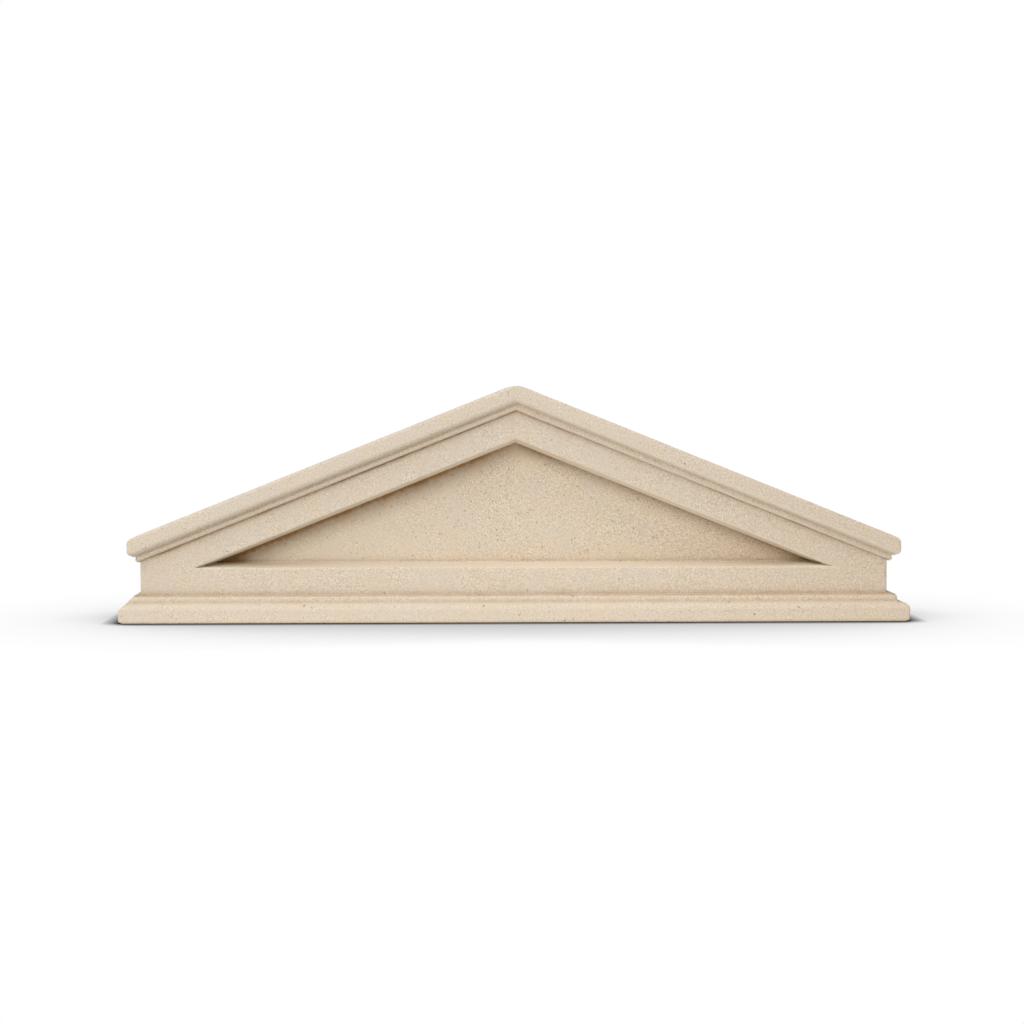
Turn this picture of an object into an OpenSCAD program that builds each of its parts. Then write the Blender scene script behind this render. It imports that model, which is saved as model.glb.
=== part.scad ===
// Triangular pediment section, cast in one piece of stone.
// A plain gable block stands on a moulded base band. Along both roof slopes runs
// a cornice of one tall rounded band, a narrow cove and a bead. Both mouldings
// return square around the two ends and stop flat against the wall.
// A shallow splayed triangular recess lies in the front face.
//
// Frame, in millimetres: the origin is the centre of the underside, X runs along
// the length, the front looks towards -Y, the wall face towards +Y, and Z is up.

/* [Overall] */
// Length over the base band
base_length = 1200; // [1000:10:1600]
// Depth of the gable block, from the wall face to the plain front face
body_depth = 150; // [100:5:250]
// Height above the bed at which the roof slope meets the end of the cornice
eaves_height = 125.6; // [120:0.2:160]
// Pitch of the two roof slopes, in degrees
roof_pitch = 21.8; // [18:0.1:26]
// Radius that softens the ridge
ridge_radius = 36; // [10:1:60]

/* [Cornice] */
// How far the band stands out from the plain face
cornice_projection = 18; // [17:0.5:24]
// Height of the band, square to the slope
cornice_band = 25; // [18:0.5:30]
// Radius of the band's upper arris
band_top_radius = 4; // [1:0.5:6]
// Radius of the band's lower arris
band_under_radius = 6; // [2:0.5:8]
// Radius of the bead below the band
bead_radius = 4; // [3:0.5:5]
// How far the bead stands out from the plain face
bead_projection = 6.5; // [5.5:0.5:7.5]
// Radius of the hollow between the band and the bead
cove_radius = 2.5; // [1:0.5:2.5]
// Radius at the top of the band's end
nose_top_radius = 11; // [4:1:14]
// Radius at the foot of the band's end
nose_under_radius = 10; // [2:1:11]

/* [Base] */
// How far the base band stands out from the plain face
base_projection = 30; // [26:1:40]
// Radius of the base band's lowest arris
base_foot_radius = 5; // [1:0.5:8]
// Height at which the base band's upright face starts to round over
base_shoulder_height = 19; // [14:0.5:22]
// Radius of the base band's shoulder
base_shoulder_radius = 9; // [4:0.5:10]
// Slope of the weathered top of the base band, in degrees
base_weathering = 20; // [10:1:30]
// How far the small upper moulding stands out from the plain face
upper_projection = 13.5; // [11:0.5:16]
// Height of the top of the small upper moulding above the bed
upper_height = 41; // [39:0.5:48]
// Radius of the small upper moulding's arris
upper_radius = 5; // [2:0.5:6]

/* [Recess] */
// Width of the plain face between the roof slope and the recess, square to the slope
rake_face_width = 77.5; // [60:0.5:95]
// Height of the recess's sill above the bed, at the plain face
sill_height = 82; // [60:0.5:90]
// Depth of the recess behind the plain face
recess_depth = 48; // [20:1:60]
// How much the sill rises from its front edge to the back of the recess
sill_rise = 4.5; // [0:0.5:10]
// How far each sloping wall leans in from its front edge to the back of the recess
wall_splay = 6; // [0:0.1:15]

/* [Hidden] */

stone_colour = [0.85, 0.78, 0.69];
arc_steps = 7;
ridge_half_steps = 5;

// The plain face is set back from the middle so that the whole depth is centred.
whole_depth = body_depth + base_projection;
wall_y = whole_depth / 2;
face_y = wall_y - body_depth;
half_block = base_length / 2 - base_projection;
half_cornice = half_block + cornice_projection;

slope_rise = tan(roof_pitch);
slope_cos = cos(roof_pitch);
ridge_height = eaves_height + half_cornice * slope_rise;
bead_centre = cornice_band + 2 * bead_radius;
cornice_depth = bead_centre + bead_radius;

// Everything that only has to reach past the stone does so by this much.
reach = base_length;
past = 40;
// The gable block starts inside the base band, above the bed.
block_foot = base_shoulder_height / 2;

// Height of the roof slope at a distance from the middle
function roof_z(x) = ridge_height - abs(x) * slope_rise;

// Points along an arc about [cx, cy], from one angle to another
function arc(cx, cy, r, from, to, steps = arc_steps) =
    [for (i = [0 : steps])
        let (a = from + (to - from) * i / steps)
        [cx + r * cos(a), cy + r * sin(a)]];

function mirrored(points) =
    [for (i = [len(points) - 1 : -1 : 0]) [-points[i][0], points[i][1]]];

// Section of the base band and its small upper moulding.
// The first value is the distance out from the plain face, the second the height.
base_shoulder = arc(base_projection - base_shoulder_radius, base_shoulder_height,
    base_shoulder_radius, 0, 90 - base_weathering);
shoulder_end = base_shoulder[arc_steps];
weathering_run = shoulder_end[0] - upper_projection;
upper_crease = shoulder_end[1] + weathering_run * tan(base_weathering);
base_section = concat(
    arc(base_projection - base_foot_radius, base_foot_radius, base_foot_radius, -90, 0),
    base_shoulder,
    [[upper_projection, upper_crease]],
    arc(upper_projection - upper_radius, upper_height - upper_radius, upper_radius, 0, 90)
);

// Section of the raking cornice.
// The first value is the distance out from the plain face, the second the
// distance below the roof slope, square to it, as a negative number.
cove_floor = bead_projection - cove_radius;
bead_seat = bead_projection - bead_radius;
bead_start = acos((cove_floor - bead_seat) / bead_radius);
cornice_section = concat(
    arc(cornice_projection - band_top_radius, -band_top_radius, band_top_radius, 90, 0),
    arc(cornice_projection - band_under_radius, band_under_radius - cornice_band,
        band_under_radius, 0, -90),
    arc(bead_projection, -cornice_band - cove_radius, cove_radius, 90, 180),
    arc(bead_seat, -bead_centre, bead_radius, bead_start, -90)
);

// Outline of the gable block and cornice, seen from the front: the right end,
// from its foot up to the roof slope, and the arc that softens the ridge.
nose_under_z = eaves_height - cornice_band / slope_cos;
bead_under_z = roof_z(half_block + bead_projection) - cornice_depth / slope_cos;
nose_x = half_cornice - nose_top_radius;
right_end = concat(
    [[half_block, block_foot]],
    [[half_block, bead_under_z]],
    arc(half_block + bead_seat, bead_under_z + bead_radius, bead_radius, -90, 0),
    [[half_block + bead_projection, nose_under_z]],
    arc(half_cornice - nose_under_radius, nose_under_z + nose_under_radius,
        nose_under_radius, -90, 0),
    arc(nose_x, roof_z(nose_x) - nose_top_radius / slope_cos,
        nose_top_radius, 0, 90 - roof_pitch)
);
ridge = arc(0, ridge_height - ridge_radius / slope_cos, ridge_radius,
    90 - roof_pitch, 90 + roof_pitch, 2 * ridge_half_steps);

// Stands a front outline upright and gives it the depth of the stone.
module upright(points) {
    translate([0, wall_y, 0])
        rotate([90, 0, 0])
            linear_extrude(whole_depth + past)
                polygon(points);
}

// Runs a section along X, with its first value pointing out of the front face.
module front_run(points, start, length) {
    translate([start, face_y, 0])
        rotate([90, 0, 90])
            linear_extrude(length)
                polygon([for (p = points) [-p[0], p[1]]]);
}

// One roof slope: the cornice with all the stone below it, cut at the middle.
module right_slope() {
    below_bed = -ridge_height - past;
    section = concat(
        [[-body_depth - past, 0]],
        cornice_section,
        [[0, -cornice_depth], [0, below_bed], [-body_depth - past, below_bed]]
    );
    intersection() {
        translate([0, 0, ridge_height])
            rotate([0, roof_pitch, 0])
                front_run(section, -past, 2 * reach);
        translate([0, -reach / 2, 0])
            cube([reach, reach, reach]);
    }
}

// Gable block with its cornice, returned around both ends.
module gable() {
    intersection() {
        upright(concat(right_end, ridge, mirrored(right_end)));
        union() {
            right_slope();
            mirror([1, 0, 0]) right_slope();
        }
    }
}

// Base band, returned around both ends.
module base_band() {
    top = upper_height;
    side = [for (p = base_section) [half_block + p[0], p[1]]];
    front = concat(base_section, [[-body_depth, top], [-body_depth, 0]]);
    intersection() {
        upright(concat(side, mirrored(side)));
        front_run(front, -reach, 2 * reach);
    }
}

// Splayed triangular recess, as the stone that it takes away.
module recess() {
    sill_angle = atan(sill_rise / recess_depth);
    splay_angle = atan(wall_splay / recess_depth);
    intersection() {
        translate([-reach, face_y - past, 0])
            cube([2 * reach, recess_depth + past, reach]);
        translate([0, face_y, sill_height])
            rotate([sill_angle, 0, 0])
                translate([-reach, -reach, 0])
                    cube([2 * reach, 2 * reach, reach]);
        for_both_slopes()
            translate([0, 0, -rake_face_width])
                rotate([-splay_angle, 0, 0])
                    translate([-reach, -reach, -reach])
                        cube([2 * reach, 2 * reach, reach]);
    }
}

// What is below both roof slopes, each child being placed along one of them
module for_both_slopes() {
    intersection_for (side = [0, 1])
        mirror([side, 0, 0])
            translate([0, face_y, ridge_height])
                rotate([0, roof_pitch, 0])
                    children();
}

module pediment() {
    color(stone_colour)
        difference() {
            union() {
                gable();
                base_band();
            }
            recess();
        }
}

pediment();
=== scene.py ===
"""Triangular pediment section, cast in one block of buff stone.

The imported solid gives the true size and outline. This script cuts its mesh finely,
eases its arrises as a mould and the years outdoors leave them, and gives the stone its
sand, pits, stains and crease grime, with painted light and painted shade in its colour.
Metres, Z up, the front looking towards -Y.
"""

import math

import bmesh
import bpy
import numpy as np
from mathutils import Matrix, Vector, noise


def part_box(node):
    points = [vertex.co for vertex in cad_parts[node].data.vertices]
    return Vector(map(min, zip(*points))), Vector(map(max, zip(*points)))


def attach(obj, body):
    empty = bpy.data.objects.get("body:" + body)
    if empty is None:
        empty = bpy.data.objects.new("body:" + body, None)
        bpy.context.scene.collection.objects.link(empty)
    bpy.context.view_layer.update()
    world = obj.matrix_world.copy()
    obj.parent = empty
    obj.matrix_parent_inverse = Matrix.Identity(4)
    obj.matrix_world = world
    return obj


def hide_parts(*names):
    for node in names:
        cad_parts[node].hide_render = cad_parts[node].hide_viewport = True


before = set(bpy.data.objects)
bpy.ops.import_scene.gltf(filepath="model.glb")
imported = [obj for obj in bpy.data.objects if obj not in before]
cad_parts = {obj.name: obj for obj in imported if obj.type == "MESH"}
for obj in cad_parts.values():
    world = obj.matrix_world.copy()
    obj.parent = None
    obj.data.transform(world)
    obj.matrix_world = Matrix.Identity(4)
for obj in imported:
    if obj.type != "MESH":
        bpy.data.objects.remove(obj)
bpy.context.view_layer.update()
BED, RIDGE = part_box("pediment")

# ---------------------------------------------------------------- sizes
# Main lines of the block
HALF_LENGTH = RIDGE.x
WALL_Y = RIDGE.y
BASE_PROJECTION = 0.030
FACE_Y = BED.y + BASE_PROJECTION
HALF_BLOCK = HALF_LENGTH - BASE_PROJECTION
PITCH = math.radians(21.8)
SLOPE = math.tan(PITCH)
SLOPE_COS = math.cos(PITCH)
RIDGE_RADIUS = 0.036
RIDGE_Z = RIDGE.z + RIDGE_RADIUS * (1 / SLOPE_COS - 1)

# Raking cornice: a tall band, a cove and a bead
BAND_PROJECTION = 0.018
BAND_HEIGHT = 0.025
BAND_TOP_RADIUS = 0.004
BAND_UNDER_RADIUS = 0.006
BEAD_RADIUS = 0.004
BEAD_PROJECTION = 0.0065
COVE_RADIUS = 0.0025
NOSE_TOP_RADIUS = 0.011
NOSE_UNDER_RADIUS = 0.010
BEAD_CENTRE = BAND_HEIGHT + 2 * BEAD_RADIUS
CORNICE_DEPTH = BEAD_CENTRE + BEAD_RADIUS

# Base: a rounded band with a small upper moulding
FOOT_RADIUS = 0.005
SHOULDER_HEIGHT = 0.019
SHOULDER_RADIUS = 0.009
WEATHERING = math.radians(20)
UPPER_PROJECTION = 0.0135
UPPER_HEIGHT = 0.041
UPPER_RADIUS = 0.005

# Splayed triangular recess
RAKE_FACE = 0.0775
SILL_Z = 0.082
RECESS_DEPTH = 0.048
SILL_RISE = 0.0045
WALL_SPLAY = 0.0060
RECESS_BACK = FACE_Y + RECESS_DEPTH
RECESS_CORNER_X = (RIDGE_Z - RAKE_FACE / SLOPE_COS - SILL_Z) / SLOPE

# How far a section or outline runs on inside the stone
INSIDE = 2.0


# ---------------------------------------------------------------- the block's form
def arc(cx, cy, radius, start, end, steps=6):
    """Points along an arc about (cx, cy), between two angles in degrees."""
    angles = np.radians(np.linspace(start, end, steps + 1))
    return [(cx + radius * math.cos(a), cy + radius * math.sin(a)) for a in angles]


def roof_z(x):
    """Height of the roof slope at a distance from the middle."""
    return RIDGE_Z - np.abs(x) * SLOPE


def below_roof(x, z):
    """Depth below the roof slope, square to it."""
    return (roof_z(x) - z) * SLOPE_COS


def rise(value, start, end):
    """Rises evenly from 0 where value is start to 1 where it is end."""
    return np.clip((value - start) / (end - start), 0, 1)


def cornice_section():
    """The cornice square to the slope: distance out of the face, height below the roof."""
    seat = BEAD_PROJECTION - BEAD_RADIUS
    floor = BEAD_PROJECTION - COVE_RADIUS
    bead_start = math.degrees(math.acos((floor - seat) / BEAD_RADIUS))
    under = BAND_PROJECTION - BAND_UNDER_RADIUS
    return (
        [(-INSIDE, 0)]
        + arc(BAND_PROJECTION - BAND_TOP_RADIUS, -BAND_TOP_RADIUS, BAND_TOP_RADIUS, 90, 0)
        + arc(under, BAND_UNDER_RADIUS - BAND_HEIGHT, BAND_UNDER_RADIUS, 0, -90)
        + arc(BEAD_PROJECTION, -BAND_HEIGHT - COVE_RADIUS, COVE_RADIUS, 90, 180)
        + arc(seat, -BEAD_CENTRE, BEAD_RADIUS, bead_start, -90)
        + [(0, -CORNICE_DEPTH), (0, -INSIDE), (-INSIDE, -INSIDE)]
    )


def end_outline():
    """The upright end seen from the front: plain face, returned bead and band, no roof."""
    seat = HALF_BLOCK + BEAD_PROJECTION - BEAD_RADIUS
    bead_z = roof_z(HALF_BLOCK + BEAD_PROJECTION) - CORNICE_DEPTH / SLOPE_COS
    half_cornice = HALF_BLOCK + BAND_PROJECTION
    nose_z = roof_z(half_cornice) - BAND_HEIGHT / SLOPE_COS
    return (
        [(-INSIDE, -INSIDE), (HALF_BLOCK, -INSIDE), (HALF_BLOCK, bead_z)]
        + arc(seat, bead_z + BEAD_RADIUS, BEAD_RADIUS, -90, 0)
        + [(HALF_BLOCK + BEAD_PROJECTION, nose_z)]
        + arc(half_cornice - NOSE_UNDER_RADIUS, nose_z + NOSE_UNDER_RADIUS, NOSE_UNDER_RADIUS, -90, 0)
        + [(half_cornice, INSIDE), (-INSIDE, INSIDE)]
    )


def roof_outline():
    """Half of the roof seen from the front: the round over the nose, the slope, the ridge."""
    half_cornice = HALF_BLOCK + BAND_PROJECTION
    nose_x = half_cornice - NOSE_TOP_RADIUS
    roof_angle = 90 - math.degrees(PITCH)
    return (
        [(-INSIDE, -INSIDE), (half_cornice, -INSIDE)]
        + arc(nose_x, roof_z(nose_x) - NOSE_TOP_RADIUS / SLOPE_COS, NOSE_TOP_RADIUS, 0, roof_angle)
        + arc(0, RIDGE_Z - RIDGE_RADIUS / SLOPE_COS, RIDGE_RADIUS, roof_angle, 90)
        + [(-INSIDE, RIDGE_Z - RIDGE_RADIUS / SLOPE_COS + RIDGE_RADIUS)]
    )


def base_section():
    """The base mouldings, open at top and bed: distance out of the face, height."""
    shoulder = arc(
        BASE_PROJECTION - SHOULDER_RADIUS, SHOULDER_HEIGHT, SHOULDER_RADIUS, 0, 90 - math.degrees(WEATHERING)
    )
    run = shoulder[-1][0] - UPPER_PROJECTION
    crease = shoulder[-1][1] + run * math.tan(WEATHERING)
    upper = UPPER_HEIGHT - UPPER_RADIUS
    return (
        [(-INSIDE, -INSIDE), (BASE_PROJECTION - FOOT_RADIUS, -INSIDE)]
        + arc(BASE_PROJECTION - FOOT_RADIUS, FOOT_RADIUS, FOOT_RADIUS, -90, 0)
        + shoulder
        + [(UPPER_PROJECTION, crease)]
        + arc(UPPER_PROJECTION - UPPER_RADIUS, upper, UPPER_RADIUS, 0, 90)
        + [(UPPER_PROJECTION - UPPER_RADIUS, INSIDE), (-INSIDE, INSIDE)]
    )


def outline_distance(u, v, outline):
    """Signed distance of points (u, v) from a closed outline, negative inside."""
    nearest = np.full(len(u), 1e9)
    inside = np.zeros(len(u), bool)
    corners = np.array(outline)
    for (au, av), (bu, bv) in zip(corners, np.roll(corners, -1, axis=0)):
        du, dv = bu - au, bv - av
        squared = du * du + dv * dv
        if squared < 1e-14:
            continue
        along = np.clip(((u - au) * du + (v - av) * dv) / squared, 0, 1)
        nearest = np.minimum(nearest, np.hypot(u - au - along * du, v - av - along * dv))
        crosses = (av > v) != (bv > v)
        inside ^= crosses & (u < au + (v - av) / (dv if dv else 1e-12) * du)
    return np.where(inside, -nearest, nearest)


def eased_arris(a, b, radius):
    """What is inside both a and b, its outer corner rounded."""
    return np.minimum(-radius, np.maximum(a, b)) + np.hypot(
        np.maximum(a + radius, 0), np.maximum(b + radius, 0)
    )


def eased_crease(a, b, radius):
    """What is inside a or b, its inner corner filled."""
    return np.maximum(radius, np.minimum(a, b)) - np.hypot(
        np.maximum(radius - a, 0), np.maximum(radius - b, 0)
    )


CORNICE_SECTION = cornice_section()
END_OUTLINE = end_outline()
ROOF_OUTLINE = roof_outline()
BASE_SECTION = base_section()
ARRIS_RADIUS = 0.0022
CORNER_RADIUS = 0.0035
CREASE_RADIUS = 0.0016


def recess_distance(x, y, z):
    """Signed distance from the splayed triangular recess, negative in its hollow."""
    inward = y - FACE_Y
    floor = inward - RECESS_DEPTH
    sill_lean = math.hypot(SILL_RISE, RECESS_DEPTH)
    sill = ((SILL_Z - z) * RECESS_DEPTH + inward * SILL_RISE) / sill_lean
    wall_lean = math.hypot(WALL_SPLAY, RECESS_DEPTH)
    wall = ((RAKE_FACE - below_roof(x, z)) * RECESS_DEPTH + inward * WALL_SPLAY) / wall_lean
    sides = np.maximum(sill, wall)
    return eased_arris(sides, floor, CREASE_RADIUS)


# The left end's mouldings are worn to one slope: the stone lost at the shoulder,
# measured square to it
SHOULDER_LOSS = 0.0024
SHOULDER_CENTRE = BASE_PROJECTION - SHOULDER_RADIUS + SHOULDER_HEIGHT
WORN_SLOPE = SHOULDER_CENTRE + math.sqrt(2) * (SHOULDER_RADIUS - SHOULDER_LOSS)


def worn_base_end(end, out, z):
    """The base's end section worn down to a slope, with the hollow above it filled."""
    filled = np.maximum.reduce([z - UPPER_HEIGHT + UPPER_RADIUS, out - BASE_PROJECTION, SHOULDER_HEIGHT - z])
    return np.maximum(np.minimum(end, filled), (out + z - WORN_SLOPE) / math.sqrt(2))


def base_distance(points, wear):
    """Signed distance from the base mouldings with the stone behind them."""
    out, beyond, z = FACE_Y - points[:, 1], np.abs(points[:, 0]) - HALF_BLOCK, points[:, 2]
    front = outline_distance(out, z, BASE_SECTION)
    end = outline_distance(beyond, z, BASE_SECTION)
    end = np.where(points[:, 0] < 0, worn_base_end(end, beyond, z), end)
    mouldings = eased_arris(front, end, CORNER_RADIUS * wear)
    return np.maximum(mouldings, np.maximum(z - UPPER_HEIGHT, -z))


def block_distance(points, wear=1.0):
    """Signed distance of points from the finished block, negative inside the stone."""
    x, y, z = np.abs(points[:, 0]), points[:, 1], points[:, 2]
    front = outline_distance(FACE_Y - y, -below_roof(x, z), CORNICE_SECTION)
    end = outline_distance(x, z, END_OUTLINE)
    gable = eased_arris(front, end, CORNER_RADIUS * wear)
    gable = np.maximum(gable, outline_distance(x, z, ROOF_OUTLINE))
    base = base_distance(points, wear)
    block = eased_crease(gable, base, CREASE_RADIUS)
    block = eased_arris(block, -recess_distance(x, y, z), ARRIS_RADIUS * wear)
    return np.maximum(block, y - WALL_Y)


# ---------------------------------------------------------------- the mesh
# Row spacing on the faces, along the arrises and from the front towards the wall
FINE_STEP = 0.0024
ARRIS_STEP = 0.0011
DEPTH_STEP = 0.008
MERGE_DISTANCE = 1e-6
# Front-to-back extents that tell the faces running to the wall from the mouldings
MOULDING_DEPTH = 0.1
RECESS_WALL_DEPTH = 0.03


def cut_rows(work, faces, normal, places):
    """Cuts a set of faces by parallel planes, at rising distances along their normal."""
    normal = Vector(normal).normalized()
    for place in places:
        geom = {g for f in faces for g in (f, *f.edges, *f.verts)}
        made = bmesh.ops.bisect_plane(
            work, geom=list(geom), dist=1e-7, plane_co=normal * place, plane_no=normal
        )["geom"]
        faces = [
            g for g in made
            if isinstance(g, bmesh.types.BMFace) and g.calc_center_bounds().dot(normal) > place
        ]


def steps(*stretches):
    """Places along a line: each stretch is (start, end, step)."""
    return [float(p) for start, end, step in stretches for p in np.arange(start, end, step)]


def extent(face, axis):
    """A face's length along one axis."""
    values = [v.co[axis] for v in face.verts]
    return max(values) - min(values)


def finely_cut_block():
    """The solid's mesh, cut into small even faces wherever the front shows."""
    work = bmesh.new()
    work.from_mesh(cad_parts["pediment"].data)
    bmesh.ops.remove_doubles(work, verts=work.verts, dist=MERGE_DISTANCE)
    bmesh.ops.dissolve_limit(work, angle_limit=math.radians(0.5), verts=work.verts, edges=work.edges)

    def chosen(wanted):
        work.normal_update()
        return [f for f in work.faces if wanted(f.calc_center_bounds(), f.normal, f)]

    def on_plane(centre, normal, y):
        return normal.y < -0.99 and abs(centre.y - y) < 1e-4

    def runs_through(centre, normal, face):
        return extent(face, 1) > MOULDING_DEPTH and abs(normal.y) < 0.9 and normal.z > -0.99

    end = HALF_BLOCK - 2 * CORNER_RADIUS
    moulded = chosen(lambda c, n, f: n.y < 0.9 and extent(f, 1) < MOULDING_DEPTH)
    cut_rows(work, moulded, (1, 0, 0), steps(
        (-HALF_LENGTH + ARRIS_STEP, -end, ARRIS_STEP), (-end, end, FINE_STEP), (end, HALF_LENGTH, ARRIS_STEP)
    ))
    roof = chosen(lambda c, n, f: runs_through(c, n, f) and abs(c.x) < end)
    cut_rows(work, roof, (1, 0, 0), steps((-end, end, 4 * FINE_STEP)))
    through = chosen(runs_through)
    cut_rows(work, through, (0, 1, 0), steps(
        (BED.y + ARRIS_STEP, FACE_Y + 2 * CORNER_RADIUS, ARRIS_STEP),
        (FACE_Y + 2 * CORNER_RADIUS, WALL_Y, DEPTH_STEP),
    ))
    ends = chosen(lambda c, n, f: abs(n.x) > 0.99 and abs(c.x) > end and extent(f, 2) > FINE_STEP)
    cut_rows(work, ends, (0, 0, 1), steps((2 * FINE_STEP, SILL_Z * 1.6, 2 * FINE_STEP)))

    walls = chosen(lambda c, n, f: FACE_Y < c.y < 0 and RECESS_WALL_DEPTH < extent(f, 1) < MOULDING_DEPTH)
    cut_rows(work, walls, (0, 1, 0), steps(
        (FACE_Y + ARRIS_STEP, FACE_Y + 4 * ARRIS_STEP, ARRIS_STEP),
        (FACE_Y + 4 * ARRIS_STEP, RECESS_BACK - 3 * ARRIS_STEP, 1.5 * FINE_STEP),
        (RECESS_BACK - 3 * ARRIS_STEP, RECESS_BACK, ARRIS_STEP),
    ))
    tympanum = chosen(lambda c, n, f: on_plane(c, n, RECESS_BACK))
    cut_rows(work, tympanum, (0, 0, 1), steps(
        (SILL_Z, SILL_Z + SILL_RISE + 3 * ARRIS_STEP, ARRIS_STEP),
        (SILL_Z + SILL_RISE + 3 * ARRIS_STEP, RIDGE.z, FINE_STEP),
    ))
    frieze = chosen(lambda c, n, f: on_plane(c, n, FACE_Y) and (c.z < SILL_Z or abs(c.x) > RECESS_CORNER_X))
    cut_rows(work, frieze, (0, 0, 1), steps(
        (UPPER_HEIGHT + ARRIS_STEP, UPPER_HEIGHT + 4 * ARRIS_STEP, ARRIS_STEP),
        (UPPER_HEIGHT + 4 * ARRIS_STEP, SILL_Z - 3 * ARRIS_STEP, FINE_STEP),
        (SILL_Z - 3 * ARRIS_STEP, SILL_Z, ARRIS_STEP), (SILL_Z, 1.3 * SILL_Z, FINE_STEP),
    ))
    base_face = chosen(lambda c, n, f: on_plane(c, n, BED.y))
    cut_rows(work, base_face, (0, 0, 1), steps((FOOT_RADIUS, SHOULDER_HEIGHT, FINE_STEP))[1:])
    for side in (-1, 1):
        square_to_slope = (side * math.sin(PITCH), 0, math.cos(PITCH))
        roof_at = RIDGE_Z * SLOPE_COS
        rake = chosen(lambda c, n, f: on_plane(c, n, FACE_Y) and c.x * side > 0 and c.z > SILL_Z)
        cut_rows(work, rake, square_to_slope, steps(
            (roof_at - RAKE_FACE + ARRIS_STEP, roof_at - RAKE_FACE + 4 * ARRIS_STEP, ARRIS_STEP),
            (roof_at - RAKE_FACE + 4 * ARRIS_STEP, roof_at - CORNICE_DEPTH - 3 * ARRIS_STEP, FINE_STEP),
            (roof_at - CORNICE_DEPTH - 3 * ARRIS_STEP, roof_at - CORNICE_DEPTH, ARRIS_STEP),
        ))
        band = chosen(lambda c, n, f: on_plane(c, n, FACE_Y - BAND_PROJECTION) and c.x * side > 0)
        cut_rows(work, band, square_to_slope, steps(
            (roof_at - BAND_HEIGHT + BAND_UNDER_RADIUS, roof_at - BAND_TOP_RADIUS, FINE_STEP)
        )[1:])
    return work


# Distance over which the form's slope is felt, and how far off a point may stay
PROBE = 0.0002
CLOSE_ENOUGH = 5e-6


def settle(points, wear):
    """Moves points that lie off the finished form onto it."""
    for _ in range(3):
        off = block_distance(points, wear)
        stray = np.flatnonzero(np.abs(off) > CLOSE_ENOUGH)
        near, radius = points[stray], wear[stray]
        slope = np.empty_like(near)
        for axis in range(3):
            nudge = np.zeros(3)
            nudge[axis] = PROBE
            ahead, behind = block_distance(near + nudge, radius), block_distance(near - nudge, radius)
            slope[:, axis] = (ahead - behind) / (2 * PROBE)
        steep = np.maximum((slope ** 2).sum(1, keepdims=True), 0.25)
        points[stray] = near - off[stray, None] * slope / steep
    return points


def smooth_noise(points, size, seed):
    """Even noise from -1 to 1 at each point, with lumps about this size."""
    shift = Vector((seed * 17.3, seed * 5.1, seed * 9.7))
    return np.array([noise.noise(Vector(p) / size + shift) for p in points])


# Height and size of the faces' swell and of their sandy surface
SWELL, SWELL_SIZE = 0.00028, 0.07
SAND, SAND_SIZE = 0.00010, 0.0055
# Depth and size of the bites along the arrises, and how rare they are
BITE, BITE_SIZE, BITE_RARITY = 0.00154, 0.011, 0.12
# How much and over what length an arris's rounding varies
WEAR_CHANGE, WEAR_SIZE = 0.45, 0.03


def weathered(points, normals, arris):
    """The faces' slight swell, their sandy surface, and the stone lost along the arrises."""
    swell = smooth_noise(points, SWELL_SIZE, 1) * SWELL
    sand = smooth_noise(points, SAND_SIZE, 2) * SAND
    bites = np.clip(smooth_noise(points, BITE_SIZE, 3) - BITE_RARITY, 0, 1) * BITE * arris
    off_wall, off_bed = rise(points[:, 1], WALL_Y, WALL_Y - 0.01), rise(points[:, 2], 0, 0.003)
    return points + normals * ((swell + sand - bites) * off_wall * off_bed)[:, None]


# ---------------------------------------------------------------- crease grime, painted shade and painted light
# Distances at which a crease is felt, with their shares, and how near an arris counts
CREASE_REACHES = ((0.007, 0.7), (0.016, 0.3))
ARRIS_REACH = 0.003
# Slack when a point is told to lie on a plane
ON_PLANE = 0.002
# Height of the groove under the small upper moulding
GROOVE_Z = 0.0308


def masks(points, normals, wear):
    """How deep each point lies in a crease, and how near to an arris, from 0 to 1."""
    crease = np.zeros(len(points))
    for reach, share in CREASE_REACHES:
        closed = 1 - block_distance(points + normals * reach, wear) / reach
        crease += share * np.clip(closed, 0, 1)
    arris = np.clip(1 + block_distance(points - normals * ARRIS_REACH, wear) / ARRIS_REACH, 0, 1)
    return crease, arris


def within_recess(points):
    """1 on the recess's own walls and back, 0 on every other face."""
    x, y, z = points.T
    rim = 0.001
    opening = (below_roof(x, z) > RAKE_FACE - rim) * (z > SILL_Z - rim)
    return opening * (y > FACE_Y) * (y < RECESS_BACK + rim)


def at_recess_ends(points):
    """Rises from 0 to 1 along the last stretch of the recess, towards its sharp ends."""
    return rise(np.abs(points[:, 0]), RECESS_CORNER_X - 0.085, RECESS_CORNER_X - 0.025)


def towards_left(points):
    """Rises from 0 to 1 across the middle, from right to left."""
    return rise(points[:, 0], 0.15, -0.15)


def shade_under_bead(points):
    """Painted shade on the plain face below the bead, fading downwards and deeper to the left, and on the
    bead's underside.
    """
    x, y, z = points.T
    depth = below_roof(x, z)
    on_face = (np.abs(y - FACE_Y) < ON_PLANE / 2) * (depth > CORNICE_DEPTH - 0.001)
    fading_shade = np.exp(-np.clip(depth - CORNICE_DEPTH, 0, 1) / 0.007)
    fascia = (0.14 + 0.10 * towards_left(points)) * fading_shade * on_face
    bead = 0.12 * (depth > BEAD_CENTRE) * (depth < CORNICE_DEPTH + 0.001) * (y < FACE_Y - 0.0004)
    return fascia + bead


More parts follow.
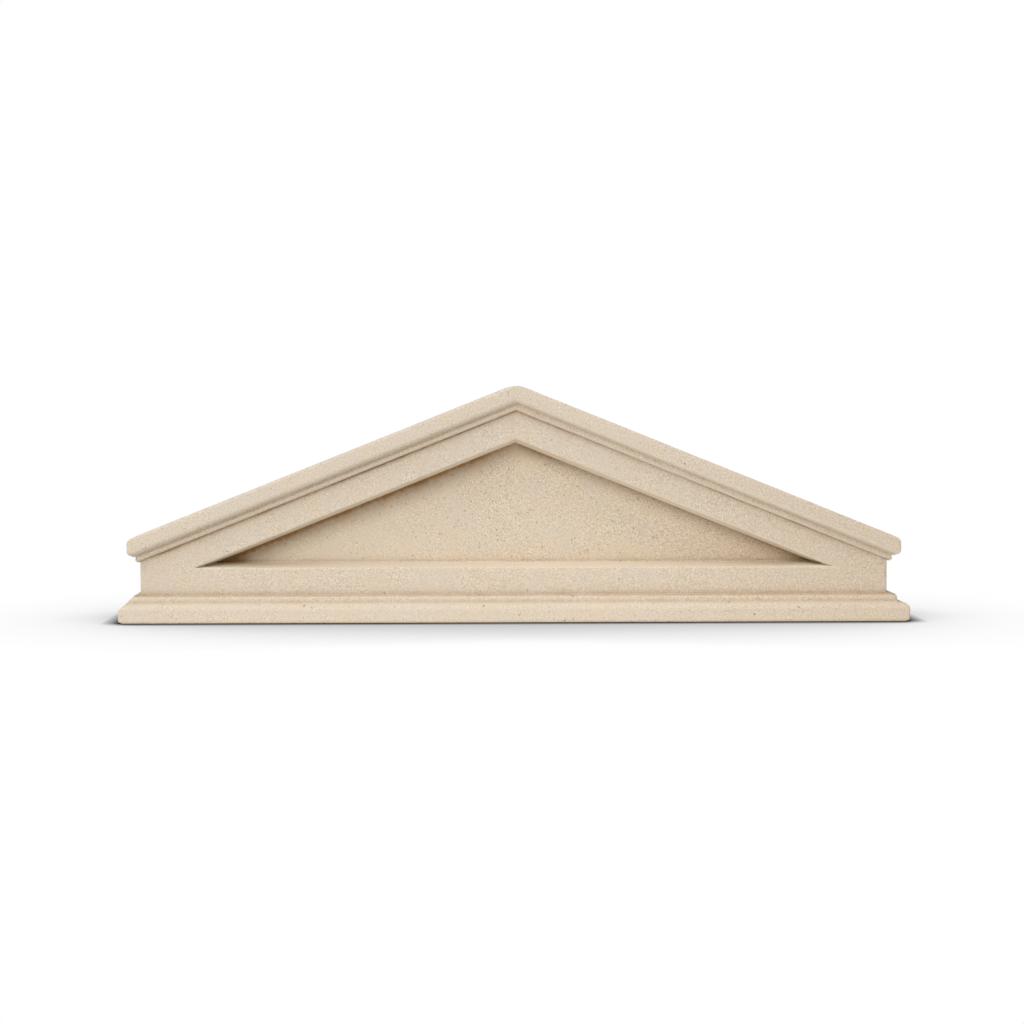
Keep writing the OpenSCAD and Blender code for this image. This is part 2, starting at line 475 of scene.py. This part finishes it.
def shade_in_recess(points, normals):
    """Painted shade at the back of the recess: on its rake walls' undersides, and the rake's shadow painted
    down the tympanum, deepest on the left.
    """
    x, y, z = points.T
    left = towards_left(points)
    from_back = RECESS_BACK - y
    below_soffit = np.clip(below_roof(x, z) - RAKE_FACE - WALL_SPLAY, 0, 1)
    shadow_under_rake = 0.70 * left * np.exp(-below_soffit / 0.014) * (np.abs(from_back) < ON_PLANE)
    soffit = (0.5 - 0.4 * left) * rise(from_back, 0.012, 0.006) * (normals[:, 2] < -0.3)
    return (shadow_under_rake + soffit) * within_recess(points)


def shade_in_base_creases(points):
    """Painted shade with some grime: a dark line over the small upper moulding, and a fainter one in the
    groove under it.
    """
    z = points[:, 2]
    top = 0.42 * rise(np.abs(z - UPPER_HEIGHT + 0.0008), 0.0024, 0)
    groove = 0.18 * rise(np.abs(z - GROOVE_Z), 0.0030, 0)
    return np.maximum(top, groove) * (points[:, 1] < FACE_Y - 0.0005)


def crease_grime_and_shade(points, normals):
    """How much crease grime and painted shade a crease holds at each point: most under the left rake, where
    light from the left leaves shade, none in the cove.
    """
    x, y, z = points.T
    left, inside = towards_left(points), within_recess(points)
    from_back = RECESS_BACK - y
    at_front = rise(y, FACE_Y + 0.01, FACE_Y)
    in_cove = rise(below_roof(x, z), BEAD_CENTRE - 0.001, BEAD_CENTRE - 0.004) * at_front
    on_rake = rise(z, SILL_Z + 0.012, SILL_Z + 0.022)
    under_bead = on_rake * at_front * (1 - in_cove) * (0.4 + 0.45 * left)
    under_rake = on_rake * (1 - at_front) * (0.35 + 0.7 * left * inside)
    over_sill = 0.5 * (1 - on_rake) * rise(from_back, ON_PLANE, 0) * inside
    base = rise(z, SILL_Z - 0.005, SILL_Z - 0.010) * np.where(normals[:, 2] > 0.3, 0.8, 0.35)
    amount = np.maximum.reduce([under_bead, under_rake, over_sill, base])
    # Painted shade is kept off the reveal walls away from the back, and off upward faces that the light
    # reaches
    unshaded_reveal = 0.95 * rise(from_back, 0, 0.014) * (y > FACE_Y + ON_PLANE) * inside
    lit_ledge = 0.8 * np.clip(normals[:, 2] * 1.5, 0, 1) * (z > SILL_Z - 0.005)
    return amount * (1 - unshaded_reveal) * (1 - lit_ledge) * (1 - 0.97 * in_cove)


def grime_and_painted_shade(points, normals, crease):
    """Where grime and painted shade darken the stone: in the creases, under the bead, in the recess and the
    base's creases, and as painted shade in the recess's ends.
    """
    patchy = 1 + 0.3 * smooth_noise(points, 0.04, 6) + 0.3 * smooth_noise(points, 0.007, 7)
    grime_and_shade = crease * crease_grime_and_shade(points, normals)
    grime_and_shade += shade_under_bead(points) + shade_in_recess(points, normals) + shade_in_base_creases(points)
    # Painted shade darkening the tympanum towards the recess's sharp ends, most on the left
    tympanum = rise(RECESS_BACK - points[:, 1], ON_PLANE, 0) * within_recess(points)
    recess_ends = tympanum * at_recess_ends(points) * (0.35 + 0.55 * towards_left(points))
    return np.clip(grime_and_shade * patchy + recess_ends, 0, 1)


def painted_light(points, normals, arris):
    """Painted light: the upward sill lit from above, undersides lit from the left and so most on the right, a
    painted highlight on arrises, and lifted shade in the recess's narrow ends and on the tympanum's left.
    """
    x, y, z = points.T
    inside = within_recess(points)
    from_back = RECESS_BACK - y
    reveal = rise(y, FACE_Y, FACE_Y + ON_PLANE) * rise(from_back, 0, ON_PLANE) * inside
    # Painted light on the sill's upward face
    sill = 0.35 * reveal * np.clip(normals[:, 2] * 1.4, 0, 1)
    towards_right = np.maximum(rise(x, -0.25, 0.25), 0.25)
    # Painted light on undersides, strongest towards the right
    shading = 0.8 * np.clip(-normals[:, 2] * 1.3, 0, 1) * towards_right * (z > SILL_Z)
    # Painted light lifting the shade in the recess's narrow ends
    narrow = 0.9 * reveal * at_recess_ends(points)
    # Painted light lifting the shade on the tympanum's left
    tympanum_left = 0.42 * inside * (from_back < ON_PLANE) * rise(x, -0.03, -0.33)
    # A painted highlight along the arrises
    return np.clip(np.maximum(sill, shading) + narrow + 0.2 * arris + tympanum_left, 0, 1)


def vertex_values(mesh, name, width):
    """One of the mesh's own vertex properties, a row for each vertex."""
    values = np.empty(len(mesh.vertices) * width)
    mesh.vertices.foreach_get(name, values)
    return values.reshape(-1, width)


def store(mesh, name, values):
    """Keeps a value for each vertex under a name that the materials read."""
    mesh.attributes.new(name, "FLOAT", "POINT").data.foreach_set("value", values.astype(np.float32))


DRESSED, TYMPANUM, SAWN = 0, 1, 2


def build_stone():
    """The pediment as one finished mesh, with its masks and its three kinds of surface."""
    work = finely_cut_block()
    work.normal_update()
    for face in work.faces:
        centre = face.calc_center_bounds()
        sawn = face.normal.y > 0.9 or face.normal.z < -0.99 and centre.z < 1e-4
        in_recess = face.normal.y < -0.99 and centre.y > RECESS_BACK - 1e-4
        face.material_index = SAWN if sawn else TYMPANUM if in_recess else DRESSED
        face.smooth = not sawn
    for edge in work.edges:
        edge.smooth = len({f.material_index == SAWN for f in edge.link_faces}) == 1
    mesh = bpy.data.meshes.new("pediment_stone")
    work.to_mesh(mesh)
    work.free()

    points = vertex_values(mesh, "co", 3)
    wear = 1 + WEAR_CHANGE * smooth_noise(points, WEAR_SIZE, 4)
    bearing = (points[:, 2] < 1e-6) | (points[:, 1] > WALL_Y - 1e-6)
    points[~bearing] = settle(points[~bearing], wear[~bearing])
    mesh.vertices.foreach_set("co", points.ravel())
    mesh.update()
    normals = vertex_values(mesh, "normal", 3)
    crease, arris = masks(points, normals, wear)
    points = weathered(points, normals, arris)
    mesh.vertices.foreach_set("co", points.ravel())
    off_wall = points[:, 1] < WALL_Y - 1e-4
    # Crease grime and painted shade, read by the materials
    store(mesh, "grime_and_shade", grime_and_painted_shade(points, normals, crease) * off_wall)
    # Painted light, read by the materials
    store(mesh, "pale", painted_light(points, normals, arris) * off_wall)
    mesh.update()

    stone = bpy.data.objects.new("pediment_stone", mesh)
    bpy.context.scene.collection.objects.link(stone)
    return stone


# ---------------------------------------------------------------- node groups
def new_group(name, inputs, outputs):
    """A shader node group: inputs and outputs are (name, kind, default) rows."""
    group = bpy.data.node_groups.new(name, "ShaderNodeTree")
    for socket_name, kind, default in inputs:
        socket = group.interface.new_socket(socket_name, in_out="INPUT", socket_type=kind)
        if default is not None:
            socket.default_value = default
    for socket_name, kind in outputs:
        group.interface.new_socket(socket_name, in_out="OUTPUT", socket_type=kind)
    return group, group.nodes.new("NodeGroupInput"), group.nodes.new("NodeGroupOutput")


def add(tree, kind, **settings):
    """A node with its properties, and its inputs by name (link or value)."""
    node = tree.nodes.new(kind)
    inputs = settings.pop("inputs", {})
    for key, value in settings.items():
        setattr(node, key, value)
    for key, value in inputs.items():
        if isinstance(value, bpy.types.NodeSocket):
            tree.links.new(value, node.inputs[key])
        else:
            node.inputs[key].default_value = value
    return node


def math_node(tree, operation, *values, clamp=False):
    """The result of a sum on links or plain numbers."""
    node = add(tree, "ShaderNodeMath", operation=operation, use_clamp=clamp,
               inputs=dict(enumerate(values)))
    return node.outputs[0]


def mix_colour(tree, factor, first, second):
    """The first colour where factor is 0, the second where it is 1."""
    node = add(tree, "ShaderNodeMix", data_type="RGBA", blend_type="MIX")
    for index, value in ((0, factor), (6, first), (7, second)):
        if isinstance(value, bpy.types.NodeSocket):
            tree.links.new(value, node.inputs[index])
        else:
            node.inputs[index].default_value = value
    return node.outputs[2]


def ramp(tree, value, low, high):
    """Rises smoothly from 0 at low to 1 at high."""
    node = add(tree, "ShaderNodeMapRange", interpolation_type="SMOOTHSTEP", clamp=True,
               inputs={"Value": value, "From Min": low, "From Max": high})
    return node.outputs["Result"]


def use(tree, group, **inputs):
    """A placed node group, its inputs by name with _ for a space."""
    inputs = {key.replace("_", " "): value for key, value in inputs.items()}
    return add(tree, "ShaderNodeGroup", node_tree=group, inputs=inputs)


def srgb(red, green, blue):
    """A colour given as 0 to 255 display values, as the shader wants it."""
    def linear(value):
        value /= 255
        return value / 12.92 if value <= 0.04045 else ((value + 0.055) / 1.055) ** 2.4
    return linear(red), linear(green), linear(blue), 1.0


def darker(colour, amount):
    """The same colour darkened, the blue most and the red least."""
    red, green, blue = colour[:3]
    return red * (1 - 0.92 * amount), green * (1 - 1.08 * amount), blue * (1 - 1.3 * amount), 1.0


def lighter(colour, amount):
    """The same colour lightened."""
    return tuple(channel * (1 + amount) for channel in colour[:3]) + (1.0,)


# The stone's colours
BUFF = srgb(222, 209, 191)
TYMPANUM_BUFF = srgb(225, 211, 191)
SAWN_BUFF = srgb(214, 200, 182)
WARM_BUFF = srgb(226, 207, 178)
COOL_BUFF = srgb(220, 210, 196)
AIR_HOLE = srgb(138, 113, 84)
# Darker, browner stone towards the right: partly soiling, partly painted shade where the light falls off
SOILED_AND_SHADED_STONE = srgb(176, 148, 112)
# Colour of the painted light on the sill, undersides, arrises and recess
PAINTED_LIGHT_STONE = srgb(244, 233, 214)
# Warm brown for crease grime and for painted shade in creases, under the bead and in the recess
CREASE_GRIME_AND_SHADE = srgb(150, 112, 62)

# Spacing of the small and of the large air holes
SMALL_HOLES = 0.0062
LARGE_HOLES = 0.0170
HOLE_DEPTH = 0.0007


def make_grain_group():
    """Sand grains of two sizes, as a height and as a tone from 0, dark, to 1, light."""
    group, given, result = new_group(
        "sand grain",
        [("Vector", "NodeSocketVector", None), ("Grain Size", "NodeSocketFloat", 0.0013)],
        [("Height", "NodeSocketFloat"), ("Tone", "NodeSocketFloat")],
    )
    scale = math_node(group, "DIVIDE", 1.0, given.outputs["Grain Size"])
    fine = add(group, "ShaderNodeTexNoise", noise_dimensions="3D", inputs={
        "Vector": given.outputs["Vector"], "Scale": scale, "Detail": 2.0, "Roughness": 0.7})
    coarse = add(group, "ShaderNodeTexNoise", noise_dimensions="3D", inputs={
        "Vector": given.outputs["Vector"], "Scale": math_node(group, "MULTIPLY", scale, 0.45),
        "Detail": 1.0, "Roughness": 0.5})
    height = math_node(group, "MULTIPLY_ADD", coarse.outputs["Fac"], 0.45, fine.outputs["Fac"])
    group.links.new(height, result.inputs["Height"])
    tone = add(group, "ShaderNodeMapRange", interpolation_type="LINEAR", clamp=True, inputs={
        "Value": height, "From Min": 0.56, "From Max": 0.89})
    group.links.new(tone.outputs["Result"], result.inputs["Tone"])
    return group


def make_pit_group():
    """Air holes: round pits scattered at random, some cells holding none."""
    group, given, result = new_group(
        "air holes",
        [("Vector", "NodeSocketVector", None), ("Spacing", "NodeSocketFloat", 0.010),
         ("Largest", "NodeSocketFloat", 0.25), ("Share", "NodeSocketFloat", 0.5)],
        [("Pit", "NodeSocketFloat")],
    )
    cells = add(group, "ShaderNodeTexVoronoi", feature="F1", inputs={
        "Vector": given.outputs["Vector"], "Scale": math_node(group, "DIVIDE", 1.0, given.outputs["Spacing"]),
        "Randomness": 1.0})
    parts = add(group, "ShaderNodeSeparateColor", inputs={"Color": cells.outputs["Color"]})
    wobble = add(group, "ShaderNodeTexNoise", noise_dimensions="3D", inputs={
        "Vector": given.outputs["Vector"], "Scale": math_node(group, "DIVIDE", 4.0, given.outputs["Spacing"]),
        "Detail": 1.0})
    away = math_node(group, "ADD", cells.outputs["Distance"],
                     math_node(group, "MULTIPLY_ADD", wobble.outputs["Fac"], 0.16, -0.08))
    radius = math_node(group, "MULTIPLY", given.outputs["Largest"],
                       math_node(group, "MULTIPLY_ADD", parts.outputs["Green"], 0.7, 0.3))
    pit = math_node(group, "SUBTRACT", 1.0, math_node(group, "DIVIDE", away, radius), clamp=True)
    present = math_node(group, "LESS_THAN", parts.outputs["Red"], given.outputs["Share"])
    group.links.new(math_node(group, "MULTIPLY", ramp(group, pit, 0.0, 0.55), present), result.inputs["Pit"])
    return group


def make_patch_group():
    """Broad patches where the cast stone dried warmer or cooler."""
    group, given, result = new_group(
        "drying patches",
        [("Vector", "NodeSocketVector", None), ("Size", "NodeSocketFloat", 0.05)],
        [("Warm", "NodeSocketFloat"), ("Cool", "NodeSocketFloat")],
    )
    scale = math_node(group, "DIVIDE", 1.0, given.outputs["Size"])
    cloud = add(group, "ShaderNodeTexNoise", noise_dimensions="4D", inputs={
        "Vector": given.outputs["Vector"], "W": 2.0, "Scale": scale, "Detail": 4.0, "Roughness": 0.62})
    other = add(group, "ShaderNodeTexNoise", noise_dimensions="4D", inputs={
        "Vector": given.outputs["Vector"], "W": 7.0, "Scale": scale, "Detail": 4.0, "Roughness": 0.62})
    group.links.new(ramp(group, cloud.outputs["Fac"], 0.46, 0.68), result.inputs["Warm"])
    group.links.new(ramp(group, other.outputs["Fac"], 0.46, 0.68), result.inputs["Cool"])
    return group


GRAIN = make_grain_group()
PITS = make_pit_group()
PATCHES = make_patch_group()


def make_surface_group():
    """The cast surface itself: sand grains, air holes and broad drying patches."""
    group, given, result = new_group(
        "cast surface",
        [("Vector", "NodeSocketVector", None), ("Dark", "NodeSocketColor", None),
         ("Light", "NodeSocketColor", None), ("Hole Size", "NodeSocketFloat", 0.24),
         ("Hole Share", "NodeSocketFloat", 0.5), ("Grain Depth", "NodeSocketFloat", 0.0002)],
        [("Colour", "NodeSocketColor"), ("Height", "NodeSocketFloat")],
    )
    place, size, share = (given.outputs[name] for name in ("Vector", "Hole Size", "Hole Share"))
    grain = use(group, GRAIN, Vector=place)
    patches = use(group, PATCHES, Vector=place)
    small = use(group, PITS, Vector=place, Spacing=SMALL_HOLES, Largest=size, Share=share)
    large_size = math_node(group, "MULTIPLY", size, 0.62)
    large_share = math_node(group, "MULTIPLY", share, 0.8)
    large = use(group, PITS, Vector=place, Spacing=LARGE_HOLES, Largest=large_size, Share=large_share)
    pit = math_node(group, "MAXIMUM", small.outputs["Pit"], large.outputs["Pit"])

    lively = add(group, "ShaderNodeTexNoise", noise_dimensions="3D", inputs={
        "Vector": place, "Scale": 26.0, "Detail": 2.0}).outputs["Fac"]
    spot = add(group, "ShaderNodeSeparateXYZ", inputs={"Vector": place})
    right_side = math_node(group, "MULTIPLY", ramp(group, spot.outputs["X"], -0.1, 0.45), 0.45)
    strength = math_node(group, "ADD", right_side, math_node(
        group, "MULTIPLY_ADD", ramp(group, lively, 0.36, 0.64), 0.6, 0.62))
    higher_up = math_node(group, "MULTIPLY_ADD", ramp(group, spot.outputs["Z"], 0.02, 0.06), 0.35, 0.65)
    strength = math_node(group, "MULTIPLY", strength, higher_up)
    off_middle = math_node(group, "SUBTRACT", grain.outputs["Tone"], 0.5)
    tone = math_node(group, "MULTIPLY_ADD", off_middle, strength, 0.5)
    colour = mix_colour(group, tone, given.outputs["Dark"], given.outputs["Light"])
    warm = math_node(group, "MULTIPLY", patches.outputs["Warm"], 0.35)
    colour = mix_colour(group, warm, colour, WARM_BUFF)
    cool = math_node(group, "MULTIPLY", patches.outputs["Cool"], 0.35)
    colour = mix_colour(group, cool, colour, COOL_BUFF)
    colour = mix_colour(group, math_node(group, "MULTIPLY", pit, 0.55), colour, AIR_HOLE)
    group.links.new(colour, result.inputs["Colour"])
    height = math_node(group, "SUBTRACT",
                       math_node(group, "MULTIPLY", grain.outputs["Height"], given.outputs["Grain Depth"]),
                       math_node(group, "MULTIPLY", pit, HOLE_DEPTH))
    group.links.new(height, result.inputs["Height"])
    return group


def make_grime_and_light_group():
    """Colour laid over the cast stone: a right side darker from soiling and painted shade, painted light on
    the sill, undersides and arrises, and grime and painted shade in creases.
    """
    group, given, result = new_group(
        "grime_light_and_shade",
        [("Vector", "NodeSocketVector", None), ("Colour", "NodeSocketColor", None),
         ("Soiled", "NodeSocketFloat", 0.2), ("GrimeAndShade", "NodeSocketFloat", 0.95)],
        [("Colour", "NodeSocketColor")],
    )
    across = add(group, "ShaderNodeSeparateXYZ", inputs={"Vector": given.outputs["Vector"]}).outputs["X"]
    # Darker and browner towards the right: partly soiling, partly painted shade where the light falls off
    right_side = math_node(group, "MULTIPLY", ramp(group, across, 0.05, 0.62), given.outputs["Soiled"])
    colour = mix_colour(group, right_side, given.outputs["Colour"], SOILED_AND_SHADED_STONE)
    # Painted light on the sill, undersides, arrises and in the recess
    pale = add(group, "ShaderNodeAttribute", attribute_name="pale").outputs["Fac"]
    colour = mix_colour(group, pale, colour, PAINTED_LIGHT_STONE)
    # Crease grime and painted shade, mixed in as warm brown
    creases = add(group, "ShaderNodeAttribute", attribute_name="grime_and_shade").outputs["Fac"]
    grime_and_shade = math_node(group, "MULTIPLY", creases, given.outputs["GrimeAndShade"])
    group.links.new(mix_colour(group, grime_and_shade, colour, CREASE_GRIME_AND_SHADE), result.inputs["Colour"])
    return group


SURFACE = make_surface_group()
GRIME_AND_LIGHT = make_grime_and_light_group()


# ---------------------------------------------------------------- materials
def stone_material(name, tone, contrast, hole_share, hole_size, grain_depth, soiled_and_shaded):
    """Buff cast stone: its cast surface, then its soiling, grime, painted light and painted shade."""
    material = bpy.data.materials.new(name)
    material.use_nodes = True
    tree = material.node_tree
    tree.nodes.clear()
    place = add(tree, "ShaderNodeTexCoord").outputs["Object"]
    surface = use(tree, SURFACE, Vector=place, Dark=darker(tone, contrast), Light=lighter(tone, contrast),
                  Hole_Size=hole_size, Hole_Share=hole_share, Grain_Depth=grain_depth)
    grime_and_light = use(tree, GRIME_AND_LIGHT, Vector=place, Colour=surface.outputs["Colour"], Soiled=soiled_and_shaded)
    bump = add(tree, "ShaderNodeBump", inputs={
        "Strength": 1.0, "Distance": 1.0, "Height": surface.outputs["Height"]})
    shader = add(tree, "ShaderNodeBsdfPrincipled", inputs={
        "Base Color": grime_and_light.outputs["Colour"], "Normal": bump.outputs["Normal"],
        "Roughness": 0.92, "Specular IOR Level": 0.25})
    out = add(tree, "ShaderNodeOutputMaterial")
    tree.links.new(shader.outputs[0], out.inputs["Surface"])
    return material


def dressed_stone():
    """The faces and mouldings that show."""
    return stone_material("dressed_stone", BUFF, contrast=0.22, hole_share=0.45, hole_size=0.24,
                          grain_depth=0.00018, soiled_and_shaded=0.20)


def tympanum_stone():
    """The rougher face at the back of the recess."""
    return stone_material("tympanum_stone", TYMPANUM_BUFF, contrast=0.25, hole_share=0.90, hole_size=0.27,
                          grain_depth=0.00030, soiled_and_shaded=0.30)


def sawn_stone():
    """The plain bed and wall faces that are built in."""
    return stone_material("sawn_stone", SAWN_BUFF, contrast=0.16, hole_share=0.30, hole_size=0.20,
                          grain_depth=0.00022, soiled_and_shaded=0.10)


# ---------------------------------------------------------------- studio
AIM = Vector((-0.004, 0.0, 0.1632))
CAMERA_AZIMUTH = math.radians(-1.90)
CAMERA_ELEVATION = math.radians(3.0)
CAMERA_DISTANCE = 3.093
LENS = 70
FLOOR_REACH = 40.0
# How far the block shades the floor around it, and how far its dark contact line reaches
SHADE_REACH = 0.38
CONTACT_REACH = 0.03
FILL_LIGHT = 0.24


def add_camera():
    """The camera, a little to the left of the middle and a little above it."""
    back = Vector((
        math.sin(CAMERA_AZIMUTH) * math.cos(CAMERA_ELEVATION),
        -math.cos(CAMERA_AZIMUTH) * math.cos(CAMERA_ELEVATION),
        math.sin(CAMERA_ELEVATION),
    ))
    data = bpy.data.cameras.new("camera")
    data.lens = LENS
    camera = bpy.data.objects.new("camera", data)
    camera.location = AIM + back * CAMERA_DISTANCE
    camera.rotation_euler = (-back).to_track_quat("-Z", "Y").to_euler()
    bpy.context.scene.collection.objects.link(camera)
    bpy.context.scene.camera = camera


def add_floor():
    """A pale floor that keeps the block's soft shadow and runs out to white."""
    mesh = bpy.data.meshes.new("floor")
    far = FLOOR_REACH
    mesh.from_pydata([(-far, -far, 0), (far, -far, 0), (far, far, 0), (-far, far, 0)], [], [(0, 1, 2, 3)])
    floor = bpy.data.objects.new("floor", mesh)
    bpy.context.scene.collection.objects.link(floor)
    material = bpy.data.materials.new("pale_floor")
    material.use_nodes = True
    tree = material.node_tree
    tree.nodes.clear()
    rays = add(tree, "ShaderNodeLightPath")
    matt = add(tree, "ShaderNodeBsdfDiffuse", inputs={"Color": (0.86, 0.86, 0.86, 1)})
    shading = add(tree, "ShaderNodeAmbientOcclusion", samples=16, inputs={"Distance": SHADE_REACH})
    contact = add(tree, "ShaderNodeAmbientOcclusion", samples=16, inputs={"Distance": CONTACT_REACH})
    contact_line = math_node(tree, "POWER", contact.outputs["AO"], 4.0)
    brightness = math_node(tree, "MULTIPLY", shading.outputs["AO"], contact_line)
    white = add(tree, "ShaderNodeEmission", inputs={"Color": (1, 1, 1, 1), "Strength": brightness})
    both = add(tree, "ShaderNodeMixShader", inputs={"Fac": rays.outputs["Is Camera Ray"]})
    tree.links.new(matt.outputs[0], both.inputs[1])
    tree.links.new(white.outputs[0], both.inputs[2])
    out = add(tree, "ShaderNodeOutputMaterial")
    tree.links.new(both.outputs[0], out.inputs["Surface"])
    mesh.materials.append(material)


def add_world():
    """Even studio light from all round, seen as plain white."""
    world = bpy.data.worlds.new("studio")
    world.use_nodes = True
    tree = world.node_tree
    tree.nodes.clear()
    rays = add(tree, "ShaderNodeLightPath")
    seen = math_node(tree, "MAXIMUM", rays.outputs["Is Camera Ray"], rays.outputs["Is Glossy Ray"])
    seen = math_node(tree, "MAXIMUM", seen, rays.outputs["Is Transmission Ray"])
    strength = math_node(tree, "MULTIPLY_ADD", seen, 1.0 - FILL_LIGHT, FILL_LIGHT)
    light = add(tree, "ShaderNodeBackground", inputs={"Color": (1, 1, 1, 1), "Strength": strength})
    out = add(tree, "ShaderNodeOutputWorld")
    tree.links.new(light.outputs[0], out.inputs["Surface"])
    bpy.context.scene.world = world


def add_lamp(name, azimuth, elevation, strength, softness):
    """A broad soft lamp: azimuth 0 is straight in front, negative to the left."""
    data = bpy.data.lights.new(name, "SUN")
    data.energy = strength
    data.angle = math.radians(softness)
    lamp = bpy.data.objects.new(name, data)
    azimuth, elevation = math.radians(azimuth), math.radians(elevation)
    towards = Vector((
        math.sin(azimuth) * math.cos(elevation), -math.cos(azimuth) * math.cos(elevation), math.sin(elevation)
    ))
    lamp.rotation_euler = towards.to_track_quat("Z", "Y").to_euler()
    bpy.context.scene.collection.objects.link(lamp)


bpy.context.scene.view_settings.view_transform = "Standard"
add_camera()
add_world()
add_lamp("front_left", azimuth=-16, elevation=27, strength=1.26, softness=28)
add_lamp("overhead", azimuth=-20, elevation=68, strength=1.32, softness=45)
add_floor()

stone = build_stone()
for material in (dressed_stone(), tympanum_stone(), sawn_stone()):
    stone.data.materials.append(material)
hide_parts("pediment")
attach(stone, "root")
